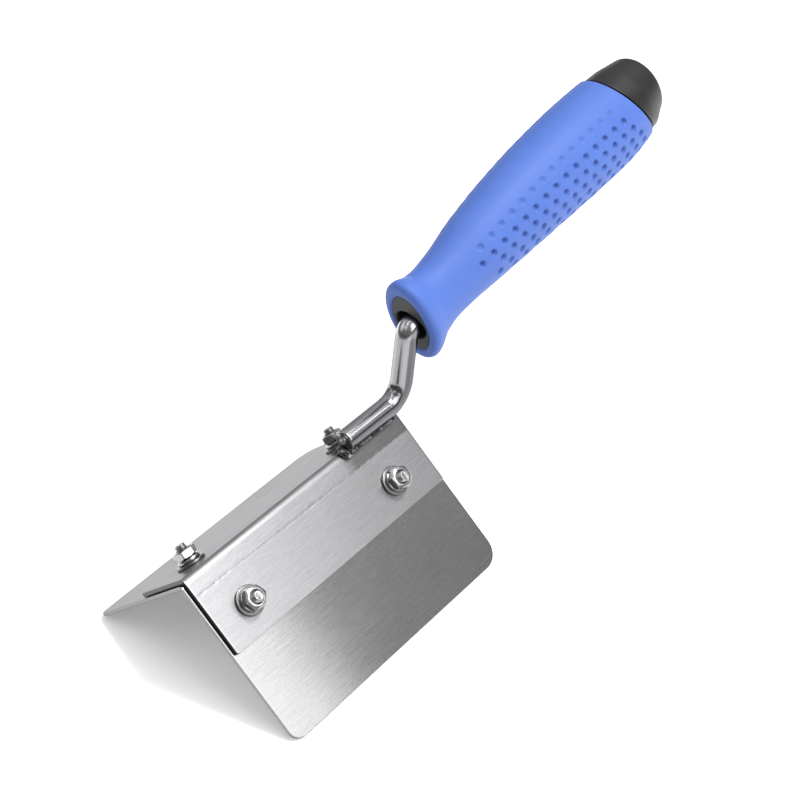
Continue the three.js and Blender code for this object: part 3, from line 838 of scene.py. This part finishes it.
class Nodes:
    """A small helper round one node tree."""

    def __init__(self, material):
        material.use_nodes = True
        self.tree = material.node_tree
        self.shader = self.tree.nodes["Principled BSDF"]

    def add(self, kind, **values):
        node = self.tree.nodes.new(kind)
        for key, value in values.items():
            setattr(node, key, value)
        return node

    def link(self, a, out, b, into):
        self.tree.links.new(a.outputs[out], b.inputs[into])

    def coords(self, kind, scale):
        source = self.add("ShaderNodeTexCoord")
        mapping = self.add("ShaderNodeMapping")
        mapping.inputs["Scale"].default_value = scale
        self.link(source, kind, mapping, "Vector")
        return mapping

    def noise(self, mapping, scale, detail=4.0, roughness=0.55):
        node = self.add("ShaderNodeTexNoise")
        node.inputs["Scale"].default_value = scale
        node.inputs["Detail"].default_value = detail
        node.inputs["Roughness"].default_value = roughness
        self.link(mapping, "Vector", node, "Vector")
        return node

    def ramp(self, source, out, stops):
        node = self.add("ShaderNodeValToRGB")
        elements = node.color_ramp.elements
        while len(elements) < len(stops):
            elements.new(0.5)
        for element, (position, value) in zip(elements, stops):
            element.position = position
            element.color = (*value, 1)
        self.link(source, out, node, "Fac")
        return node

    def spread(self, source, out, low, high):
        node = self.add("ShaderNodeMapRange")
        node.inputs["To Min"].default_value = low
        node.inputs["To Max"].default_value = high
        self.link(source, out, node, "Value")
        return node

    def bump(self, source, out, strength, distance, after=None):
        node = self.add("ShaderNodeBump")
        node.inputs["Strength"].default_value = strength
        node.inputs["Distance"].default_value = distance
        self.link(source, out, node, "Height")
        if after is not None:
            self.link(after, "Normal", node, "Normal")
        return node


def material(name, slot):
    made = bpy.data.materials.new(name)
    nodes = Nodes(made)
    return made, nodes


def grey(value):
    return (value, value, value * 1.01)


def multiply(n, a, a_out, b, b_out):
    mix = n.add("ShaderNodeMix", data_type="RGBA", blend_type="MULTIPLY")
    mix.inputs[0].default_value = 1.0
    n.link(a, a_out, mix, 6)
    n.link(b, b_out, mix, 7)
    return mix


def maths(n, operation, a, a_out, value):
    """Maths node on one output; `value` is a number or another node and its output."""
    node = n.add("ShaderNodeMath", operation=operation)
    n.link(a, a_out, node, 0)
    if isinstance(value, tuple):
        n.link(value[0], value[1], node, 1)
    else:
        node.inputs[1].default_value = value
    return node


def uv_parts(n, along=1.0):
    """The UV map's two parts, X multiplied by `along`."""
    parts = n.add("ShaderNodeSeparateXYZ")
    n.link(n.coords("UV", (along, 1.0, 1.0)), "Vector", parts, "Vector")
    return parts


def press_marks_and_painted_shadow(n, colour, wear_and_painted_shade):
    """The dark crease of the press brake, and a painted shadow of the rod: on both legs the strip from
    the ridge to the crease, from about 72 mm rearward, is painted down to half brightness.
    """
    split = uv_parts(n)
    down = maths(n, "ABSOLUTE", split, "Y", 0.0)
    slope = maths(n, "MULTIPLY", split, "X", 0.011)
    beyond = maths(n, "SUBTRACT", down, 0, (slope, 0))
    wander = maths(n, "MULTIPLY_ADD", wear_and_painted_shade, "Fac", 0.5)
    wander.inputs[2].default_value = -0.25
    place = maths(n, "ADD", beyond, 0, (wander, 0))
    scaled = maths(n, "MULTIPLY", place, 0, 0.1)
    crease = n.ramp(
        scaled,
        0,
        [
            (0.58, grey(1.0)),
            (0.592, grey(0.8)),
            (0.604, grey(1.0)),
            (0.648, grey(1.0)),
            (0.66, grey(0.35)),
            (0.674, grey(0.35)),
            (0.69, grey(1.1)),
            (0.71, grey(1.0)),
        ],
    )
    # Painted shadow of the rod: mask of the strip between ridge and crease, fading in from x 70 to 75
    # mm.
    reach = n.ramp(scaled, 0, [(0.64, grey(1.0)), (0.67, grey(0.0))])
    along = n.spread(split, "X", 0.0, 1.0)
    along.inputs["From Min"].default_value = 70.0
    along.inputs["From Max"].default_value = 75.0
    amount = maths(n, "MULTIPLY", reach, "Color", (along, "Result"))
    painted_shade = n.ramp(amount, 0, [(0.0, grey(1.0)), (1.0, grey(0.5))])
    gaps = n.noise(n.coords("UV", (0.9, 0.3, 1.0)), 1.0, 4.0, 0.7)
    broken = n.add("ShaderNodeMix", data_type="RGBA")
    n.link(n.ramp(gaps, "Fac", [(0.42, grey(0.15)), (0.6, grey(1.0))]), "Color", broken, 0)
    broken.inputs[6].default_value = (1, 1, 1, 1)
    n.link(crease, "Color", broken, 7)
    marked = multiply(n, colour, "Color", broken, 2)
    return multiply(n, marked, 2, painted_shade, "Color")


def sheet_steel(name, slot, tone, rough, grain, streaks, edge_tint, pressed_and_painted_shadow=False):
    """Rolled stainless sheet: fine lines along the ridge, faint stains and grain."""
    made, n = material(name, slot)
    n.shader.inputs["Metallic"].default_value = 1.0
    lines = n.noise(n.coords("UV", (0.1, 1.7, 1.0)), 1.0, 5.0, 0.75)
    fine = n.noise(n.coords("UV", (0.3, 6.0, 1.0)), 1.0, 3.0, 0.6)
    stain = n.noise(n.coords("UV", (0.05, 0.06, 1.0)), 1.0, 3.0, 0.5)
    speck = n.noise(n.coords("UV", (0.9, 1.5, 1.0)), 1.0, 5.0, 0.75)
    mix = n.add("ShaderNodeMix", data_type="FLOAT")
    mix.inputs[0].default_value = 0.4
    n.link(lines, "Fac", mix, 2)
    n.link(speck, "Fac", mix, 3)
    colour = n.ramp(
        mix,
        0,
        [(0.3, grey(tone * (1 - streaks))), (0.7, grey(tone * (1 + streaks)))],
    )
    # Press marks: the crease, and the painted shadow of the rod beside the ridge.
    if pressed_and_painted_shadow:
        colour = press_marks_and_painted_shadow(n, colour, lines)
    n.link(colour, "Color" if not pressed_and_painted_shadow else 2, n.shader, "Base Color")
    roughness = n.spread(stain, "Fac", rough - 0.03, rough + 0.03)
    n.link(roughness, "Result", n.shader, "Roughness")
    n.shader.inputs["Specular Tint"].default_value = (edge_tint, edge_tint, edge_tint, 1)
    n.shader.inputs["Anisotropic"].default_value = 0.6
    n.shader.inputs["Anisotropic Rotation"].default_value = 0.25
    tangent = n.add("ShaderNodeTangent", direction_type="UV_MAP", uv_map="UVMap")
    n.link(tangent, "Tangent", n.shader, "Tangent")
    scratched = n.bump(fine, "Fac", grain, 0.00002)
    grained = n.bump(speck, "Fac", grain, 0.00003, scratched)
    n.link(grained, "Normal", n.shader, "Normal")
    return made


def plain_metal(name, slot, tone, rough, bumpiness, scale, contrast=0.12):
    made, n = material(name, slot)
    n.shader.inputs["Metallic"].default_value = 1.0
    cloud = n.noise(n.coords("Object", (1, 1, 1)), scale, 5.0, 0.6)
    low, high = tone * (1 - contrast), tone * (1 + contrast)
    colour = n.ramp(cloud, "Fac", [(0.35, grey(low)), (0.65, grey(high))])
    n.link(colour, "Color", n.shader, "Base Color")
    roughness = n.spread(cloud, "Fac", rough * 0.8, rough * 1.25)
    n.link(roughness, "Result", n.shader, "Roughness")
    height = n.bump(cloud, "Fac", bumpiness, 0.0001)
    n.link(height, "Normal", n.shader, "Normal")
    return made


def drawn_rod():
    """Drawn bright bar with faint lines along it. Painted reflection: a dark band along its near side.
    Painted light: a lighter far side, a lighter lower stretch and a much lighter elbow.
    """
    made, n = material("drawn_rod_steel", "rod_steel")
    n.shader.inputs["Metallic"].default_value = 1.0
    lines = n.noise(n.coords("UV", (0.04, 60.0, 1.0)), 1.0, 5.0, 0.6)
    tone = n.ramp(lines, "Fac", [(0.35, grey(0.24)), (0.65, grey(0.31))])
    # Painted reflection and light round the rod: a dark band on its near side, a lighter far side.
    stops = [
        (0.18, grey(1.0)),
        (0.21, grey(0.6)),
        (0.272, grey(0.5)),
        (0.29, grey(0.36)),
        (0.335, grey(0.4)),
        (0.352, grey(1.0)),
        (0.5, grey(1.0)),
        (0.56, grey(1.45)),
    ]
    painted_reflection_band = n.ramp(uv_parts(n), "Y", stops)
    with_painted_bands = multiply(n, tone, "Color", painted_reflection_band, "Color")
    # Painted light along the rod: lighter on the lower stretch, darker through the bend and upright,
    # much lighter at the elbow.
    stops = [(0.21, grey(1.15)), (0.31, grey(0.9)), (0.5, grey(0.9)), (0.52, grey(1.7))]
    painted_light_along = n.ramp(uv_parts(n, 0.01), "X", stops)
    n.link(multiply(n, with_painted_bands, 2, painted_light_along, "Color"), 2, n.shader, "Base Color")
    n.shader.inputs["Specular Tint"].default_value = (0.55, 0.55, 0.55, 1)
    roughness = n.spread(lines, "Fac", 0.17, 0.26)
    n.link(roughness, "Result", n.shader, "Roughness")
    height = n.bump(lines, "Fac", 0.06, 0.00005)
    n.link(height, "Normal", n.shader, "Normal")
    return made


def weld_metal(name, brightest):
    made, n = material(name, "weld_steel")
    n.shader.inputs["Metallic"].default_value = 1.0
    cloud = n.noise(n.coords("Object", (1, 1, 1)), 900.0, 4.0, 0.6)
    patches = n.noise(n.coords("Object", (1, 1, 1)), 420.0, 3.0, 0.55)
    stops = [(0.42, grey(0.03)), (0.56, grey(0.11)), (0.68, grey(brightest))]
    colour = n.ramp(patches, "Fac", stops)
    n.link(colour, "Color", n.shader, "Base Color")
    roughness = n.spread(cloud, "Fac", 0.25, 0.6)
    n.link(roughness, "Result", n.shader, "Roughness")
    height = n.bump(cloud, "Fac", 0.6, 0.0003)
    n.link(height, "Normal", n.shader, "Normal")
    return made


def rubber():
    made, n = material("satin_blue_rubber", "blue_rubber")
    cloud = n.noise(n.coords("Object", (1, 1, 1)), 60.0, 3.0, 0.5)
    skin = n.noise(n.coords("Object", (1, 1, 1)), 2600.0, 3.0, 0.6)
    colour = n.ramp(
        cloud, "Fac", [(0.3, (0.06, 0.122, 0.385)), (0.7, (0.065, 0.128, 0.4))]
    )
    # Painted shade: the dimple values in the UV map darken the blue inside each dimple.
    wear_and_painted_shade = n.ramp(uv_parts(n), "X", [(0.0, grey(1.0)), (0.75, (0.35, 0.42, 0.62))])
    n.link(multiply(n, colour, "Color", wear_and_painted_shade, "Color"), 2, n.shader, "Base Color")
    roughness = n.spread(cloud, "Fac", 0.5, 0.58)
    n.link(roughness, "Result", n.shader, "Roughness")
    n.shader.inputs["Specular IOR Level"].default_value = 0.22
    n.shader.inputs["Subsurface Weight"].default_value = 0.12
    n.shader.inputs["Subsurface Radius"].default_value = (0.001, 0.0015, 0.004)
    n.shader.inputs["Subsurface Scale"].default_value = 1.0
    height = n.bump(skin, "Fac", 0.08, 0.00005)
    n.link(height, "Normal", n.shader, "Normal")
    return made


def plastic(name, tone, rough):
    made, n = material(name, "black_plastic")
    cloud = n.noise(n.coords("Object", (1, 1, 1)), 90.0, 3.0, 0.5)
    skin = n.noise(n.coords("Object", (1, 1, 1)), 3200.0, 3.0, 0.6)
    colour = n.ramp(cloud, "Fac", [(0.3, grey(tone * 0.9)), (0.7, grey(tone * 1.1))])
    n.link(colour, "Color", n.shader, "Base Color")
    roughness = n.spread(cloud, "Fac", rough * 0.92, rough * 1.08)
    n.link(roughness, "Result", n.shader, "Roughness")
    n.shader.inputs["Specular IOR Level"].default_value = 0.25
    height = n.bump(skin, "Fac", 0.06, 0.00005)
    n.link(height, "Normal", n.shader, "Normal")
    return made


BLADE_STEEL = sheet_steel("drawn_blade_steel", "blade_steel", 0.26, 0.18, 0.16, 0.16, 0.46)
BACKING_STEEL = sheet_steel(
    "grained_backing_steel", "backing_steel", 0.24, 0.36, 0.35, 0.22, 0.82, True
)
# The near leg's front end face of the backing angle is painted near-black: painted shade for the dark
# gap and contact shadow at that end. The far leg's end face stays grey.
END_PAINTED_SHADE = plain_metal("painted_shade_end_steel", "backing_steel", 0.03, 0.6, 0.2, 800.0)
END_GREY = plain_metal("cut_end_steel", "backing_steel", 0.12, 0.5, 0.2, 800.0)
ROD_STEEL = drawn_rod()
STUD_STEEL = plain_metal("dull_stud_steel", "zinc_steel", 0.29, 0.3, 0.3, 1200.0, 0.3)
ZINC = plain_metal("bright_zinc", "zinc_steel", 0.32, 0.22, 0.2, 700.0, 0.15)
DULL_ZINC = plain_metal("dull_zinc", "zinc_steel", 0.15, 0.34, 0.25, 700.0, 0.2)
FRONT_WELD = weld_metal("burnt_weld", 0.7)
SIDE_WELD = weld_metal("dull_weld", 0.25)
BLUE = rubber()
BLACK = plastic("satin_black_plastic", 0.014, 0.4)
DISC_BLACK = plastic("dull_black_plastic", 0.022, 0.5)


# The tool -------------------------------------------------------------------------------------

sheet(
    "bent_blade",
    0,
    BLADE_LENGTH,
    BLADE_LEG,
    BLADE_SHEET,
    0.0,
    BLADE_BEND,
    BLADE_CORNERS,
    blade_relief,
    BLADE_STEEL,
    "blade",
)
sheet(
    "bent_backing",
    BACKING_FROM,
    BACKING_TO,
    BACKING_LEG,
    BACKING_SHEET,
    BACKING_FACE,
    BACKING_BEND,
    BACKING_CORNERS,
    backing_relief,
    BACKING_STEEL,
    "backing_angle",
    (END_PAINTED_SHADE, END_GREY),
)
NUT_SPINS = {"near_front": 0.35, "near_rear": 0.1, "far_front": 0.3, "far_rear": 0.5}
for place, (side, along, down) in STUD_PLACES.items():
    make_stud(f"stud_{place}", side, along, down, STUD_STEEL)
    make_flat_washer(f"flat_washer_{place}", side, along, down, DULL_ZINC)
    make_spring_washer(f"spring_washer_{place}", side, along, down, ZINC, 4.0 + along * 0.05)
    make_nut(f"nut_{place}", side, along, down, NUT_SPINS[place], ZINC)
make_tang(ROD_STEEL, FRONT_WELD)
make_side_weld(-1, SIDE_WELD)
make_side_weld(1, SIDE_WELD)
make_front_weld(FRONT_WELD)
make_grip(BLUE)
make_core(DISC_BLACK)
make_cap(BLACK)

# Floor, light and camera ----------------------------------------------------------------------


def make_floor():
    size, steps = 6.0, 24
    work = bmesh.new()
    bmesh.ops.create_grid(work, x_segments=steps, y_segments=steps, size=size)
    mesh = bpy.data.meshes.new("paper_floor")
    work.to_mesh(mesh)
    work.free()
    floor = bpy.data.objects.new("paper_floor", mesh)
    bpy.context.scene.collection.objects.link(floor)
    made = bpy.data.materials.new("white_paper")
    n = Nodes(made)
    fibre = n.noise(n.coords("Object", (1, 1, 1)), 30.0, 3.0, 0.5)
    colour = n.ramp(fibre, "Fac", [(0.3, grey(0.9)), (0.7, grey(0.92))])
    n.link(colour, "Color", n.shader, "Base Color")
    n.link(colour, "Color", n.shader, "Emission Color")
    n.shader.inputs["Emission Strength"].default_value = 0.27
    n.shader.inputs["Roughness"].default_value = 1.0
    n.shader.inputs["Specular IOR Level"].default_value = 0.0
    mesh.materials.append(made)


def area_light(name, place, target, width, height, watts):
    data = bpy.data.lights.new(name, "AREA")
    data.shape = "RECTANGLE"
    data.size = width
    data.size_y = height
    data.energy = watts
    light = bpy.data.objects.new(name, data)
    light.location = place
    aim = Vector(target) - Vector(place)
    light.rotation_euler = aim.to_track_quat("-Z", "Y").to_euler()
    bpy.context.scene.collection.objects.link(light)


def make_world():
    """A studio room: darker towards the horizon, lighter overhead."""
    world = bpy.data.worlds.new("studio")
    bpy.context.scene.world = world
    world.use_nodes = True
    tree = world.node_tree
    direction = tree.nodes.new("ShaderNodeTexCoord")
    parts = tree.nodes.new("ShaderNodeSeparateXYZ")
    ramp = tree.nodes.new("ShaderNodeValToRGB")
    side = tree.nodes.new("ShaderNodeMapRange")
    side.inputs["From Min"].default_value = -0.5
    side.inputs["From Max"].default_value = 0.3
    side.inputs["To Min"].default_value = 0.42
    side.inputs["To Max"].default_value = 1.0
    tree.links.new(direction.outputs["Generated"], parts.inputs["Vector"])
    tree.links.new(parts.outputs["Z"], ramp.inputs["Fac"])
    tree.links.new(parts.outputs["X"], side.inputs["Value"])
    stops = [(0.0, 0.14), (0.2, 0.3), (0.45, 0.56), (0.75, 0.9), (1.0, 1.05)]
    elements = ramp.color_ramp.elements
    while len(elements) < len(stops):
        elements.new(0.5)
    for element, (position, value) in zip(elements, stops):
        element.position = position
        element.color = (value, value, value, 1)
    background = tree.nodes["Background"]
    tree.links.new(ramp.outputs["Color"], background.inputs["Color"])
    tree.links.new(side.outputs["Result"], background.inputs["Strength"])


make_floor()
make_world()
MIDDLE = (-0.02, 0.0, 0.04)
area_light("key", (0.5, -0.55, 1.88), MIDDLE, 0.34, 0.34, 36)
area_light("strip_above", (-0.15, 0.04, 0.95), (-0.15, 0.0, 0.0), 2.1, 0.04, 1.9)
area_light("back_card", (-0.57, 0.6, 0.62), (-0.02, 0.0, 0.07), 0.6, 0.45, 0.75)
area_light("strip_side", (0.35, -0.52, 0.78), (0.35, 0.0, 0.05), 0.9, 0.05, 1.2)
area_light("front_card", (-0.006, -0.406, 0.383), (-0.006, -0.033, 0.010), 0.39, 0.4, 1.45)

CAMERA_FROM_RIDGE = Vector((-0.248160, -0.306536, 0.389923))
camera_data = bpy.data.cameras.new("camera")
camera_data.lens = 83.159
camera_data.sensor_width = 36
camera = bpy.data.objects.new("camera", camera_data)
bpy.context.scene.collection.objects.link(camera)
heading = math.radians(41.1505)
pitch = math.radians(39.6318)
roll = math.radians(-2.5142)
forward = Vector(
    (math.cos(pitch) * math.cos(heading), math.cos(pitch) * math.sin(heading), -math.sin(pitch))
)
level = forward.cross(Vector((0, 0, 1))).normalized()
lifted = level.cross(forward)
right = level * math.cos(roll) + lifted * math.sin(roll)
upward = right.cross(forward)
placed = Matrix((right, upward, -forward)).transposed().to_4x4()
ridge_end = to_row((0, 0, RIDGE))[0]
placed.translation = Vector(ridge_end) + CAMERA_FROM_RIDGE
camera.matrix_world = placed
bpy.context.scene.camera = camera
bpy.context.scene.view_settings.view_transform = "Standard"
